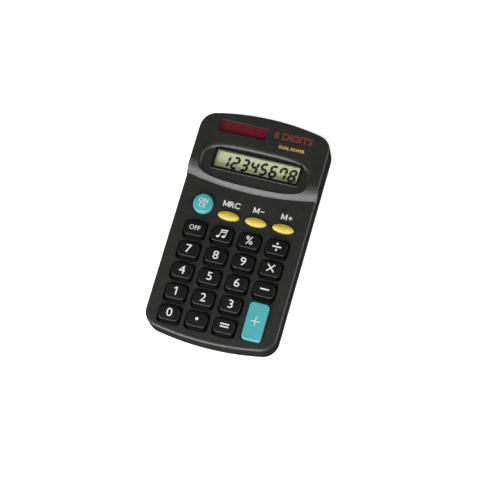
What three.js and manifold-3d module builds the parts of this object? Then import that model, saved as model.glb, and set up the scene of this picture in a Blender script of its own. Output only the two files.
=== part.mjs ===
// Pocket calculator, built as it is put together: two case shells, a sliding battery door, twenty-three keys on a
// rubber key mat, a circuit board, a display, a solar cell and an AA cell.
// Millimetres. X runs across the case, Y runs from the keys to the display end, Z is up.
// The origin is the middle of the case's footprint, on the surface that it rests on.
import * as THREE from "three";
import { mergeVertices } from "three/addons/utils/BufferGeometryUtils.js";
import Module from "manifold-3d";

const wasm = await Module();
wasm.setup();

// ---- driving dimensions -------------------------------------------------------------------------------------------

// Case outline: straight sides, two shallow end arcs and four round corners.
const CASE_HALF_WIDTH = 33.5;
const DISPLAY_END_Y = 59.2;
const KEY_END_Y = -59.2;
const DISPLAY_END_RADIUS = 129;
const KEY_END_RADIUS = 143;
const CORNER_RADIUS = 8.5;
const CORNER_STEPS = 5;
const END_STEPS = 8;

// Heights of the case.
const PARTING_Z = 7;
const KEY_FACE_Z = 15;
const PANEL_Z = 19;
const WALL = 1.8;
const FACE_WALL = 1.6;
const FACE_EDGE_ROUND = 2;
const PARTING_GAP = 0.15;
const LOWER_EDGE = { inset: 2.4, height: 6.4, roomInset: 1.8, roomHeight: 4 };

// The raised display panel ends in a round shoulder, which follows an arc across the case.
const SHOULDER_Y = 19.8;
const SHOULDER_RADIUS = 158.7;
const SHOULDER_SLOPE = THREE.MathUtils.degToRad(50);
const SHOULDER_STEPS = 5;

// Oval dish in the panel, with the display in its floor.
const DISH = { x: -0.5, y: 31.8, halfWidth: 28.4, halfDepth: 10.2, power: 3.2, floorZ: 16.4, slope: 2.4 };
const DISH_WALL = 1.2;
const DISPLAY = { x: 0, y: 34, halfWidth: 21.4, halfDepth: 4.5 };
const SOLAR = { x: -11.1, y: 50.2, halfWidth: 12.1, halfDepth: 3.2 };
const BEZEL_MARGIN = 1.7;
const BEZEL_HEIGHT = 0.35;
const BEZEL_CORNER = 1.6;
const GLASS = { halfWidth: 24.4, lowY: 28.5, highY: 38.7, lowZ: 12.3 };
const HOLDER = { wall: 1.4, backWall: 0.7, ledge: 0.6, openingHalfWidth: 23 };
const ZEBRA = { halfWidth: 22, lowY: 36, highY: 37.6 };
const SMALL_GAP = 0.2;
const WINDOW_THICKNESS = 0.7;

// Keys.
const KEY_TRAVEL_GAP = 0.3;
const FLANGE_HEIGHT = 0.9;
const FLANGE_LIP = 0.4;
const COLUMN_PITCH = 14;
const ROW_PITCH = 11.13;
const FIRST_ROW_Y = -4.7;
const BLACK_KEY = { halfWidth: 5.4, halfDepth: 4, corner: 1.7, height: 2.3, taper: 0.5, well: 0.9 };
const PLUS_KEY = { halfWidth: 5, halfDepth: 9.6, corner: 1.4, height: 2.3, taper: 0.35, well: 0.6, shiftY: 0.5 };
const ROUND_KEY = { x: -20.8, y: 9.2, radius: 5.4, height: 2, taper: 0.6 };
const MEMORY_KEY = { firstX: -6.8, y: 5.95, halfWidth: 5.6, halfDepth: 2.45, height: 1.5, taper: 0.8 };
const KEY_CLEARANCE = 0.35;
const KEY_BEVEL_PART = 0.8;

// Circuit board and key mat.
const BOARD = { halfWidth: 30.8, lowY: -54.5, highY: 38, lowZ: 7.4, highZ: 8.9, corner: 6, wallGap: 0.4 };
const MAT = { halfWidth: 26.6, lowY: -54.5, highY: 16.5, lowZ: 9.2, highZ: 10, corner: 3 };
const DOME = { topRadius: 1.9, baseRadius: 2.6, topZ: 11.9, sides: 8 };

// Parts on the underside of the board, and the sounder on the floor of the case.
const CHIP_CAP_AT = { x: -6, y: 22 };
const CAPACITOR_AT = { x: 8, y: 27, drop: 2.1 };
const RESISTOR_AT = { x: 13, y: 21, pitch: 5, drop: 1 };
const SOUNDER_AT = { x: 0, y: 2 };

// Fixings.
const SCREW_X = 28.8;
const CASE_SCREW_Y = [-44, 33];
const BOARD_SCREW_Y = [-20, 15];
const BOSS_RADIUS = 1.9;
const POST_RADIUS = 2.7;
const SCREW = { headRadius: 1.8, headHeight: 1.1, headChamfer: 0.4, shankRadius: 0.95, pointHeight: 1, sides: 10 };
const SCREW_CLEARANCE = 0.3;
const SHANK_CLEARANCE = 0.15;
const SCREW_HOLE_TOP_Z = KEY_FACE_Z - FACE_WALL - 0.6;
const SCREW_TIP_Z = SCREW_HOLE_TOP_Z - 0.3;
const HEAD_SEAT = 0.8;
const HEAD_GAP = 0.1;

// Battery: one AA cell lying across the display end.
const BATTERY = { x: 0.35, y: 47, z: 9.05, radius: 7.25, length: 50.5, chamfer: 0.5, nubRadius: 2.75, nubLength: 1 };
const DOOR = { halfWidth: 25.5, lowY: 39.8, thickness: 1.4, lipHeight: 4.7, gap: 0.3 };
const FLOOR = 1.8;
const DOOR_TONGUE = { reach: 0.8, lowZ: 0.7, highZ: 1.1, endY: 53, clearance: 0.15 };
const BAY_WALL = { thickness: 0.9, frontY: 38.2, frontHalfWidth: 24, lowY: 42, highY: 52, topZ: 11 };
const BAY_LEFT_X = -29.5;
const BAY_RIGHT_X = 26.7;
const CONTACT = { leftX: -28.3, rightX: 25.9, thickness: 0.5, lowY: 42.6, highY: 51.4, lowZ: 2.1, highZ: 13.4 };
const SPIRAL = { lowX: -28, reach: 2.3, turns: 3, startRadius: 4, endRadius: 2.5, wireRadius: 0.35 };

const FAR = 90;
const GAP = 0.3;

// ---- shapes and solids ---------------------------------------------------------------------------------------------

function arcPoints(x, y, radius, from, to, steps) {
  const points = [];
  for (let step = 0; step <= steps; step += 1) {
    const angle = from + ((to - from) * step) / steps;
    points.push(new THREE.Vector2(x + radius * Math.cos(angle), y + radius * Math.sin(angle)));
  }
  return points;
}

// The case outline, moved inwards by inset all round.
function caseShape(inset = 0) {
  const cornerX = CASE_HALF_WIDTH - CORNER_RADIUS;
  const corner = CORNER_RADIUS - inset;
  const endCorner = (endY, endRadius) => {
    const reach = endRadius - CORNER_RADIUS;
    const centreY = endY - endRadius;
    const y = centreY + Math.sqrt(reach * reach - cornerX * cornerX);
    return { centreY, y, angle: Math.asin((y - centreY) / reach), radius: endRadius - inset };
  };
  const top = endCorner(DISPLAY_END_Y, DISPLAY_END_RADIUS);
  const low = endCorner(-KEY_END_Y, KEY_END_RADIUS);
  const { PI } = Math;
  return new THREE.Shape([
    ...arcPoints(cornerX, top.y, corner, 0, top.angle, CORNER_STEPS),
    ...arcPoints(0, top.centreY, top.radius, top.angle, PI - top.angle, END_STEPS).slice(1, -1),
    ...arcPoints(-cornerX, top.y, corner, PI - top.angle, PI, CORNER_STEPS),
    ...arcPoints(-cornerX, -low.y, corner, PI, PI + low.angle, CORNER_STEPS),
    ...arcPoints(0, -low.centreY, low.radius, PI + low.angle, 2 * PI - low.angle, END_STEPS).slice(1, -1),
    ...arcPoints(cornerX, -low.y, corner, 2 * PI - low.angle, 2 * PI, CORNER_STEPS),
  ]);
}

function roundedRectangle(x, y, halfWidth, halfDepth, corner, steps = 2) {
  const points = [];
  const quarter = Math.PI / 2;
  [[1, 1], [-1, 1], [-1, -1], [1, -1]].forEach(([sideX, sideY], index) => {
    const cornerX = x + sideX * (halfWidth - corner);
    const cornerY = y + sideY * (halfDepth - corner);
    points.push(...arcPoints(cornerX, cornerY, corner, index * quarter, (index + 1) * quarter, steps));
  });
  return new THREE.Shape(points);
}

function roundedOval(x, y, halfWidth, halfDepth, power = 2, steps = 28) {
  const points = [];
  for (let step = 0; step < steps; step += 1) {
    const angle = (2 * Math.PI * step) / steps;
    const across = Math.sign(Math.cos(angle)) * Math.abs(Math.cos(angle)) ** (2 / power);
    const along = Math.sign(Math.sin(angle)) * Math.abs(Math.sin(angle)) ** (2 / power);
    points.push(new THREE.Vector2(x + halfWidth * across, y + halfDepth * along));
  }
  return new THREE.Shape(points);
}

function solidOf(geometry) {
  const bare = geometry.clone();
  bare.deleteAttribute("normal");
  bare.deleteAttribute("uv");
  const merged = mergeVertices(bare, 1e-4);
  return new wasm.Manifold(new wasm.Mesh({
    numProp: 3,
    vertProperties: new Float32Array(merged.attributes.position.array),
    triVerts: new Uint32Array(merged.index.array),
  }));
}

// A plate of the given outline from lowZ to highZ.
function plate(shape, lowZ, highZ) {
  const geometry = new THREE.ExtrudeGeometry(shape, { depth: highZ - lowZ, bevelEnabled: false });
  return solidOf(geometry.translate(0, 0, lowZ));
}

// A plate whose upper and lower edges are cut back by `inset` over `height`.
function edgedPlate(shape, lowZ, highZ, inset, height, steps) {
  const geometry = new THREE.ExtrudeGeometry(shape, {
    depth: highZ - lowZ - 2 * height,
    bevelEnabled: true,
    bevelThickness: height,
    bevelSize: inset,
    bevelOffset: -inset,
    bevelSegments: steps,
  });
  return solidOf(geometry.translate(0, 0, lowZ + height));
}

function block(lowX, highX, lowY, highY, lowZ, highZ) {
  const geometry = new THREE.BoxGeometry(highX - lowX, highY - lowY, highZ - lowZ);
  return solidOf(geometry.translate((lowX + highX) / 2, (lowY + highY) / 2, (lowZ + highZ) / 2));
}

function post(x, y, radius, lowZ, highZ, sides = 14, topRadius = radius) {
  const geometry = new THREE.CylinderGeometry(topRadius, radius, highZ - lowZ, sides);
  return solidOf(geometry.rotateX(Math.PI / 2).translate(x, y, (lowZ + highZ) / 2));
}

// A round piece turned about Z from [radius, height] pairs.
function turned(profile, sides) {
  const points = profile.map(([radius, height]) => new THREE.Vector2(radius, height));
  return new THREE.LatheGeometry(points, sides).rotateX(Math.PI / 2);
}

function join(solids) {
  return solids.reduce((whole, solid) => whole.add(solid));
}

function cut(solid, tools) {
  return tools.reduce((rest, tool) => rest.subtract(tool), solid);
}

const model = new THREE.Group();

function addPiece(name, shape, finish) {
  let geometry = shape;
  if (!shape.isBufferGeometry) {
    const mesh = shape.getMesh();
    geometry = new THREE.BufferGeometry();
    geometry.setAttribute("position", new THREE.BufferAttribute(new Float32Array(mesh.vertProperties), 3));
    geometry.setIndex(new THREE.BufferAttribute(new Uint32Array(mesh.triVerts), 1));
    geometry.computeVertexNormals();
  }
  const piece = new THREE.Mesh(geometry, new THREE.MeshStandardMaterial(finish));
  piece.name = name;
  model.add(piece);
  return piece;
}

// ---- finishes ------------------------------------------------------------------------------------------------------

const SHELL_BLACK = { color: 0x1d1d1c, roughness: 0.45, metalness: 0 };
const KEY_BLACK = { color: 0x1a1a1a, roughness: 0.38, metalness: 0 };
const KEY_TEAL = { color: 0x45b3b8, roughness: 0.4, metalness: 0 };
const KEY_YELLOW = { color: 0xe6cf45, roughness: 0.4, metalness: 0 };
const CLEAR = { color: 0xdfe6df, roughness: 0.05, metalness: 0, transparent: true, opacity: 0.3 };
const SMOKED_RED = { color: 0x6e1d2c, roughness: 0.1, metalness: 0, transparent: true, opacity: 0.6 };
const SOLAR_FILM = { color: 0x3a1018, roughness: 0.3, metalness: 0.2 };
const LCD_GREEN = { color: 0xb5bd93, roughness: 0.25, metalness: 0 };
const FRAME_WHITE = { color: 0xd8d8d0, roughness: 0.5, metalness: 0 };
const RUBBER_GREY = { color: 0x8c8f90, roughness: 0.8, metalness: 0 };
const BOARD_TAN = { color: 0xa88a4e, roughness: 0.5, metalness: 0 };
const EPOXY_BLACK = { color: 0x101012, roughness: 0.25, metalness: 0 };
const STEEL = { color: 0xb9bcc0, roughness: 0.3, metalness: 1 };
const BRASS = { color: 0xc9a24a, roughness: 0.3, metalness: 1 };
const CELL_JACKET = { color: 0x2c6e49, roughness: 0.35, metalness: 0.1 };
const RED_WIRE = { color: 0xb32222, roughness: 0.5, metalness: 0 };
const BLACK_WIRE = { color: 0x18181a, roughness: 0.5, metalness: 0 };

// ---- keys ----------------------------------------------------------------------------------------------------------

const rowY = (row) => FIRST_ROW_Y - row * ROW_PITCH;
const columnX = (column) => (column - 1.5) * COLUMN_PITCH;
const flangeTop = KEY_FACE_Z - FACE_WALL - KEY_TRAVEL_GAP;
const flangeBottom = flangeTop - FLANGE_HEIGHT;

// Every key has a cap outline, the outline of the hole that it comes through and the flange that keeps it in.
function rectangularKey(name, x, y, size, finish) {
  const { halfWidth, halfDepth, corner, height, taper, well } = size;
  const holeHalfDepth = halfDepth + well;
  return {
    name, x, y, height, taper, finish,
    cap: roundedRectangle(x, y, halfWidth, halfDepth, corner),
    hole: roundedRectangle(x, y, halfWidth + KEY_CLEARANCE, holeHalfDepth, corner + KEY_CLEARANCE),
    flange: roundedRectangle(x, y, halfWidth, holeHalfDepth + FLANGE_LIP, corner, 1),
  };
}

function ovalKey(name, x, y, size, finish) {
  const { halfWidth, halfDepth, height, taper } = size;
  const around = (growth) => roundedOval(x, y, halfWidth + growth, halfDepth + growth, 2, 16);
  return {
    name, x, y, height, taper, finish,
    cap: around(0),
    hole: around(KEY_CLEARANCE),
    flange: around(KEY_CLEARANCE + FLANGE_LIP),
  };
}

const blackKeyRows = [
  ["off", "music", "percent", "divide"],
  ["7", "8", "9", "multiply"],
  ["4", "5", "6", "minus"],
  ["1", "2", "3"],
  ["0", "point", "equals"],
];

const keys = [];
blackKeyRows.forEach((names, row) => {
  names.forEach((name, column) => {
    keys.push(rectangularKey(`key_${name}`, columnX(column), rowY(row), BLACK_KEY, KEY_BLACK));
  });
});
const plusY = (rowY(3) + rowY(4)) / 2 + PLUS_KEY.shiftY;
keys.push(rectangularKey("key_plus", columnX(3), plusY, PLUS_KEY, KEY_TEAL));
const roundHalf = { halfWidth: ROUND_KEY.radius, halfDepth: ROUND_KEY.radius };
keys.push(ovalKey("key_on_clear", ROUND_KEY.x, ROUND_KEY.y, { ...ROUND_KEY, ...roundHalf }, KEY_TEAL));
["memory_recall", "memory_minus", "memory_plus"].forEach((name, index) => {
  const x = MEMORY_KEY.firstX + index * COLUMN_PITCH;
  keys.push(ovalKey(`key_${name}`, x, MEMORY_KEY.y, MEMORY_KEY, KEY_YELLOW));
});

keys.forEach((key) => {
  const topZ = KEY_FACE_Z + key.height;
  const bevelSteps = key.finish === KEY_BLACK ? 1 : 2;
  const stem = edgedPlate(key.cap, flangeBottom - key.height, topZ, key.taper,
    key.height * KEY_BEVEL_PART, bevelSteps);
  const below = block(-FAR, FAR, -FAR, FAR, -FAR, flangeBottom);
  addPiece(key.name, join([stem, plate(key.flange, flangeBottom, flangeTop)]).subtract(below), key.finish);
});

// ---- case ----------------------------------------------------------------------------------------------------------

const insideShape = caseShape(WALL);

// The raised panel: a wide disc with a round shoulder, of which the case keeps the part inside its own outline.
function raisedPanel(growth, topZ) {
  const radius = SHOULDER_RADIUS + growth;
  const rise = topZ - KEY_FACE_Z;
  const round = rise / (1 - Math.cos(SHOULDER_SLOPE));
  const profile = [[0, PARTING_Z], [radius, PARTING_Z]];
  for (let step = 0; step <= SHOULDER_STEPS; step += 1) {
    const angle = SHOULDER_SLOPE * (1 - step / SHOULDER_STEPS);
    const inwards = round * (Math.sin(SHOULDER_SLOPE) - Math.sin(angle));
    profile.push([radius - inwards, topZ - round * (1 - Math.cos(angle))]);
  }
  profile.push([0, topZ]);
  return solidOf(turned(profile, 140).translate(0, SHOULDER_Y + SHOULDER_RADIUS, 0));
}

function dishSolid(growth, floorZ, steps) {
  const outline = roundedOval(DISH.x, DISH.y, DISH.halfWidth + growth, DISH.halfDepth + growth, DISH.power, 28);
  const height = PANEL_Z - DISH.floorZ;
  return edgedPlate(outline, floorZ, PANEL_Z + 3 * height, DISH.slope, height, steps);
}

function windowHole(window, margin, lowZ, highZ, corner) {
  const { x, y, halfWidth, halfDepth } = window;
  return plate(roundedRectangle(x, y, halfWidth + margin, halfDepth + margin, corner), lowZ, highZ);
}

const panelDisc = raisedPanel(0, PANEL_Z);
const solarSeatZ = PANEL_Z - 1;
const dishCeiling = DISH.floorZ - DISH_WALL;

function topShell() {
  const lowZ = PARTING_Z + PARTING_GAP;
  const round = FACE_EDGE_ROUND;
  const lowerFace = edgedPlate(caseShape(), lowZ - 2 * round, KEY_FACE_Z, round, round, 3);
  const upperFace = edgedPlate(caseShape(), lowZ - 2 * round, PANEL_Z, round, round, 3);
  const underside = block(-FAR, FAR, -FAR, FAR, -FAR, lowZ);
  const outside = lowerFace.add(upperFace.intersect(panelDisc)).subtract(underside);
  const keyRoom = plate(insideShape, lowZ - 1, KEY_FACE_Z - FACE_WALL);
  const panelRoom = plate(insideShape, lowZ - 1, PANEL_Z - FACE_WALL).intersect(raisedPanel(-2, PANEL_Z - FACE_WALL));
  const room = keyRoom.add(panelRoom).subtract(dishSolid(DISH_WALL, dishCeiling, 1));
  const bosses = [];
  CASE_SCREW_Y.concat(BOARD_SCREW_Y).forEach((y) => {
    const faceZ = y > SHOULDER_Y ? PANEL_Z : KEY_FACE_Z;
    [-SCREW_X, SCREW_X].forEach((x) => {
      bosses.push(post(x, y, BOSS_RADIUS, BOARD.highZ + GAP, faceZ - FACE_WALL / 2, 12));
    });
  });
  const shell = join([outside.subtract(room), ...bosses]);
  const bezel = windowHole(DISPLAY, BEZEL_MARGIN, dishCeiling, DISH.floorZ + BEZEL_HEIGHT, BEZEL_CORNER);
  const dished = shell.subtract(dishSolid(0, DISH.floorZ, 3)).add(bezel);
  const openings = keys.map((key) => plate(key.hole, flangeBottom, FAR));
  openings.push(windowHole(DISPLAY, 0, 0, FAR, 0.8));
  openings.push(windowHole(SOLAR, 0, 0, FAR, 0.6));
  openings.push(windowHole(SOLAR, 1, 0, solarSeatZ, 0.8));
  CASE_SCREW_Y.concat(BOARD_SCREW_Y).forEach((y) => {
    [-SCREW_X, SCREW_X].forEach((x) => {
      openings.push(post(x, y, SCREW.shankRadius + SHANK_CLEARANCE, 0, SCREW_HOLE_TOP_Z, 10));
    });
  });
  return cut(dished, openings);
}

// Outer form of the lower half: its sides curve inwards to the floor.
function lowerForm() {
  const rounded = edgedPlate(caseShape(), 0, 3 * PARTING_Z, LOWER_EDGE.inset, LOWER_EDGE.height, 4);
  return rounded.subtract(block(-FAR, FAR, -FAR, FAR, PARTING_Z - PARTING_GAP, FAR));
}

const lowerOutside = lowerForm();

// The hollow of the lower half, above a floor at floorZ.
function lowerRoom(floorZ) {
  return edgedPlate(insideShape, floorZ, floorZ + 3 * PARTING_Z, LOWER_EDGE.roomInset, LOWER_EDGE.roomHeight, 2);
}

function doorOpening() {
  const { halfWidth, lowY, lipHeight, gap } = DOOR;
  const { reach, lowZ, highZ, clearance } = DOOR_TONGUE;
  const hole = block(-halfWidth - gap, halfWidth + gap, lowY - gap, FAR, -1, lipHeight + gap);
  const groove = block(-halfWidth - reach - gap, halfWidth + reach + gap, lowY - gap, FAR,
    lowZ - clearance, highZ + clearance);
  return hole.add(groove);
}

function bottomShell() {
  const highZ = PARTING_Z - PARTING_GAP;
  const hollow = lowerOutside.subtract(lowerRoom(FLOOR));
  const { thickness, frontY, frontHalfWidth, lowY, highY, topZ } = BAY_WALL;
  const bayWalls = [
    block(-frontHalfWidth, frontHalfWidth, frontY, frontY + thickness, FLOOR / 2, highZ),
    block(BAY_LEFT_X, BAY_LEFT_X + thickness, lowY, highY, FLOOR / 2, topZ),
    block(BAY_RIGHT_X, BAY_RIGHT_X + thickness, lowY, highY, FLOOR / 2, topZ),
  ];
  const posts = [];
  const holes = [doorOpening()];
  CASE_SCREW_Y.forEach((y) => {
    [-SCREW_X, SCREW_X].forEach((x) => {
      posts.push(post(x, y, POST_RADIUS, 1, BOARD.highZ, 12).intersect(plate(insideShape, 1, FAR)));
      holes.push(post(x, y, SCREW.shankRadius + SHANK_CLEARANCE, -1, FAR, 10));
      holes.push(post(x, y, SCREW.headRadius + SCREW_CLEARANCE, -1, FLOOR + HEAD_SEAT, 12));
    });
  });
  return cut(join([hollow, ...bayWalls, ...posts]), holes);
}

function batteryDoor() {
  const { halfWidth, lowY, thickness, lipHeight } = DOOR;
  const { reach, lowZ, highZ, endY } = DOOR_TONGUE;
  const slab = block(-halfWidth, halfWidth, lowY, FAR, -1, lipHeight);
  const tongues = block(-halfWidth - reach, halfWidth + reach, lowY, endY, lowZ, highZ);
  return lowerOutside.intersect(slab.add(tongues)).subtract(lowerRoom(thickness));
}

addPiece("top_shell", topShell(), SHELL_BLACK);
addPiece("bottom_shell", bottomShell(), SHELL_BLACK);
addPiece("battery_door", batteryDoor(), SHELL_BLACK);

// ---- display and solar cell ----------------------------------------------------------------------------------------

const windowTop = dishCeiling - SMALL_GAP;
addPiece("display_window", windowHole(DISPLAY, 1, windowTop - WINDOW_THICKNESS, windowTop, 1), CLEAR);

const glassTop = windowTop - 1;
const { halfWidth: glassHalf, lowY: glassLowY, highY: glassHighY, lowZ: glassLowZ } = GLASS;
addPiece("lcd_glass", block(-glassHalf, glassHalf, glassLowY, glassHighY, glassLowZ, glassTop), LCD_GREEN);

function lcdHolder() {
  const { wall, backWall, ledge, openingHalfWidth } = HOLDER;
  const outer = block(-glassHalf - wall, glassHalf + wall, glassLowY - wall, glassHighY + backWall,
    BOARD.highZ + GAP, glassTop - SMALL_GAP);
  const seat = block(-glassHalf - SMALL_GAP, glassHalf + SMALL_GAP, glassLowY - SMALL_GAP, glassHighY + SMALL_GAP,
    glassLowZ - SMALL_GAP, FAR);
  const through = block(-openingHalfWidth, openingHalfWidth, glassLowY + ledge, glassHighY - ledge, 0, FAR);
  return cut(outer, [seat, through]);
}

addPiece("lcd_holder", lcdHolder(), FRAME_WHITE);
addPiece("zebra_connector", block(-ZEBRA.halfWidth, ZEBRA.halfWidth, ZEBRA.lowY, ZEBRA.highY,
  BOARD.highZ + SMALL_GAP, glassLowZ - SMALL_GAP), RUBBER_GREY);

const solarWindowTop = solarSeatZ - 0.15;
const solarWindowLow = solarWindowTop - 0.75;
const solarCellTop = solarWindowLow - 0.15;
addPiece("solar_window", windowHole(SOLAR, 0.8, solarWindowLow, solarWindowTop, 0.7), SMOKED_RED);
addPiece("solar_cell", windowHole(SOLAR, 0.5, solarCellTop - 0.45, solarCellTop, 0.1), SOLAR_FILM);

// ---- key mat and circuit board -------------------------------------------------------------------------------------

function keyMat() {
  const { halfWidth, lowY, highY, lowZ, highZ, corner } = MAT;
  const sheet = plate(roundedRectangle(0, (lowY + highY) / 2, halfWidth, (highY - lowY) / 2, corner), lowZ, highZ);
  const domes = keys.map((key) => post(key.x, key.y, DOME.baseRadius, lowZ + 0.2, DOME.topZ, DOME.sides,
    DOME.topRadius));
  return join([sheet, ...domes]);
}

function circuitBoard() {
  const { halfWidth, lowY, highY, lowZ, highZ, corner, wallGap } = BOARD;
  const board = plate(roundedRectangle(0, (lowY + highY) / 2, halfWidth, (highY - lowY) / 2, corner), lowZ, highZ);
  const holes = [];
  [-SCREW_X, SCREW_X].forEach((x) => {
    CASE_SCREW_Y.forEach((y) => holes.push(post(x, y, POST_RADIUS + GAP, 0, FAR, 12)));
    BOARD_SCREW_Y.forEach((y) => holes.push(post(x, y, SCREW.shankRadius + SHANK_CLEARANCE, 0, FAR, 10)));
  });
  return cut(board, holes).intersect(plate(caseShape(WALL + wallGap), 0, FAR));
}

addPiece("key_mat", keyMat(), RUBBER_GREY);
addPiece("circuit_board", circuitBoard(), BOARD_TAN);

// Parts on the underside of the board.
const boardUnderside = BOARD.lowZ - 0.15;
const capProfile = [[0, -1.4], [4.4, -1.1], [6, -0.3], [6.2, 0], [0, 0]];
const canProfile = [[0, 0], [2, 0], [2, 5], [0, 5]];
const beadProfile = [[0, 0], [0.75, 0.2], [0.85, 0.8], [0.7, 1.4], [0.7, 2.2], [0.85, 2.8], [0.75, 3.4], [0, 3.6]];
const sounderProfile = [[0, 0], [10, 0], [10, 0.3], [6, 0.6], [0, 0.6]];
addPiece("chip_cap", turned(capProfile, 20).translate(CHIP_CAP_AT.x, CHIP_CAP_AT.y, boardUnderside), EPOXY_BLACK);
addPiece("reservoir_capacitor", turned(canProfile, 16).rotateY(Math.PI / 2)
  .translate(CAPACITOR_AT.x, CAPACITOR_AT.y, boardUnderside - CAPACITOR_AT.drop), EPOXY_BLACK);
["left", "right"].forEach((side, index) => {
  const x = RESISTOR_AT.x + index * RESISTOR_AT.pitch;
  const body = turned(beadProfile, 12).rotateX(Math.PI / 2);
  addPiece(`resistor_${side}`, body.translate(x, RESISTOR_AT.y, boardUnderside - RESISTOR_AT.drop), BOARD_TAN);
});
addPiece("sounder_disc", turned(sounderProfile, 24).translate(SOUNDER_AT.x, SOUNDER_AT.y, FLOOR + GAP), BRASS);

// ---- battery and its contacts --------------------------------------------------------------------------------------

function batteryCell() {
  const { radius, length, chamfer, nubRadius, nubLength } = BATTERY;
  const half = length / 2;
  const shoulder = half - nubLength;
  const profile = [[0, -half], [radius - chamfer, -half], [radius, chamfer - half], [radius, shoulder - chamfer],
    [radius - chamfer, shoulder], [nubRadius, shoulder], [nubRadius, half], [0, half]];
  return turned(profile, 24).rotateY(Math.PI / 2).translate(BATTERY.x, BATTERY.y, BATTERY.z);
}

addPiece("battery_cell", batteryCell(), CELL_JACKET);

class ContactSpiral extends THREE.Curve {
  getPoint(t, target = new THREE.Vector3()) {
    const { lowX, reach, turns, startRadius, endRadius } = SPIRAL;
    const angle = 2 * Math.PI * turns * t;
    const radius = startRadius + (endRadius - startRadius) * t;
    return target.set(lowX + reach * t, BATTERY.y + radius * Math.cos(angle), BATTERY.z + radius * Math.sin(angle));
  }
}

function wireSection(radius, sides) {
  return new THREE.Shape(arcPoints(0, 0, radius, 0, (2 * Math.PI * (sides - 1)) / sides, sides - 1));
}

function wireAlong(curve, radius, sides, steps) {
  return new THREE.ExtrudeGeometry(wireSection(radius, sides), { steps, extrudePath: curve, bevelEnabled: false });
}

function contactPlate(lowX) {
  const { thickness, lowY, highY, lowZ, highZ } = CONTACT;
  return block(lowX, lowX + thickness, lowY, highY, lowZ, highZ);
}

const spiral = solidOf(wireAlong(new ContactSpiral(), SPIRAL.wireRadius, 6, 36));
addPiece("battery_spring", contactPlate(CONTACT.leftX).add(spiral), STEEL);
addPiece("battery_contact", contactPlate(CONTACT.rightX), STEEL);

const BATTERY_LEAD_RADIUS = 0.5;
const SOLAR_LEAD_RADIUS = 0.35;

function leadPath(points) {
  return new THREE.CatmullRomCurve3(points.map(([x, y, z]) => new THREE.Vector3(x, y, z)));
}

const leads = {
  battery_lead_negative: [[-27.2, 42.1, 5], [-27, 40.6, 5], [-26.4, 38.6, 5.4], [-24.6, 36.6, 6], [-22.6, 35, 6.3]],
  battery_lead_positive: [[25.9, 42.1, 5], [26.1, 40.6, 5], [25.9, 38.6, 5.4], [24.4, 36.6, 6], [22.4, 35, 6.3]],
  solar_lead_negative: [[-22, 46.1, 16.75], [-23, 43.8, 16.3], [-25.6, 41.2, 14.3], [-26.6, 39, 12],
    [-26.7, 37, 10], [-26.7, 36, 9.5]],
  solar_lead_positive: [[0.8, 46.1, 16.75], [12, 43.9, 16.4], [21, 43.6, 16.3], [25.4, 41.3, 14.4], [26.6, 39, 12],
    [26.7, 37, 10], [26.7, 36, 9.5]],
};
Object.entries(leads).forEach(([name, route]) => {
  const finish = name.endsWith("positive") ? RED_WIRE : BLACK_WIRE;
  const isSolar = name.startsWith("solar");
  addPiece(name, wireAlong(leadPath(route), isSolar ? SOLAR_LEAD_RADIUS : BATTERY_LEAD_RADIUS, 6, 14), finish);
});

// ---- screws --------------------------------------------------------------------------------------------------------

function screw(x, y, headZ, tipZ) {
  const { headRadius, headHeight, headChamfer, shankRadius, pointHeight, sides } = SCREW;
  const shoulderZ = headZ + headHeight;
  const profile = [[0, headZ], [headRadius - headChamfer, headZ], [headRadius, headZ + headChamfer],
    [headRadius, shoulderZ], [shankRadius, shoulderZ], [shankRadius, tipZ - pointHeight], [0, tipZ]];
  return turned(profile, sides).translate(x, y, 0);
}

const caseHeadZ = FLOOR + HEAD_SEAT - SCREW.headHeight - HEAD_GAP;
const boardHeadZ = BOARD.lowZ - SCREW.headHeight - HEAD_GAP;
[[-1, "left"], [1, "right"]].forEach(([side, sideName]) => {
  [["lower", 0], ["upper", 1]].forEach(([endName, index]) => {
    const x = side * SCREW_X;
    addPiece(`case_screw_${endName}_${sideName}`, screw(x, CASE_SCREW_Y[index], caseHeadZ, SCREW_TIP_Z), STEEL);
    addPiece(`board_screw_${endName}_${sideName}`, screw(x, BOARD_SCREW_Y[index], boardHeadZ, SCREW_TIP_Z), STEEL);
  });
});

export default model;
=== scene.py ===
"""Pocket calculator: the case, keys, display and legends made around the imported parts, in metres."""

import math

import bmesh
import bpy
from mathutils import Matrix, Vector


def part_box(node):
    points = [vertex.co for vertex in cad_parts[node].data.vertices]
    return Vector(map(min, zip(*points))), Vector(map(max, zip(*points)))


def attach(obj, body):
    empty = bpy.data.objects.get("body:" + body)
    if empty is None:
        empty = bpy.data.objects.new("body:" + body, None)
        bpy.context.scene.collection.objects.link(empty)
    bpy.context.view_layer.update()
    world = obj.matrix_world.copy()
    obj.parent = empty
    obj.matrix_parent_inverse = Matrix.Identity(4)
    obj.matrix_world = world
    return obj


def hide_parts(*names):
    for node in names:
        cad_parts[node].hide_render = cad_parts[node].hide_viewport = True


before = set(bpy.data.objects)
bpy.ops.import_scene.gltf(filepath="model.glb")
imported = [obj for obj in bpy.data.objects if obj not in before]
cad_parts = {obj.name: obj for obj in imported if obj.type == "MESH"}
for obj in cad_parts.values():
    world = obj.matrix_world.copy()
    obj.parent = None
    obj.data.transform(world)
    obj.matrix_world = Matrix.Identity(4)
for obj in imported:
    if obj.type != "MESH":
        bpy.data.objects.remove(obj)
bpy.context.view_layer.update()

MM = 0.001
QUARTER = math.pi / 2
FAR = 200 * MM  # beyond every side of the case

# ---- the case's own measures

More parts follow.
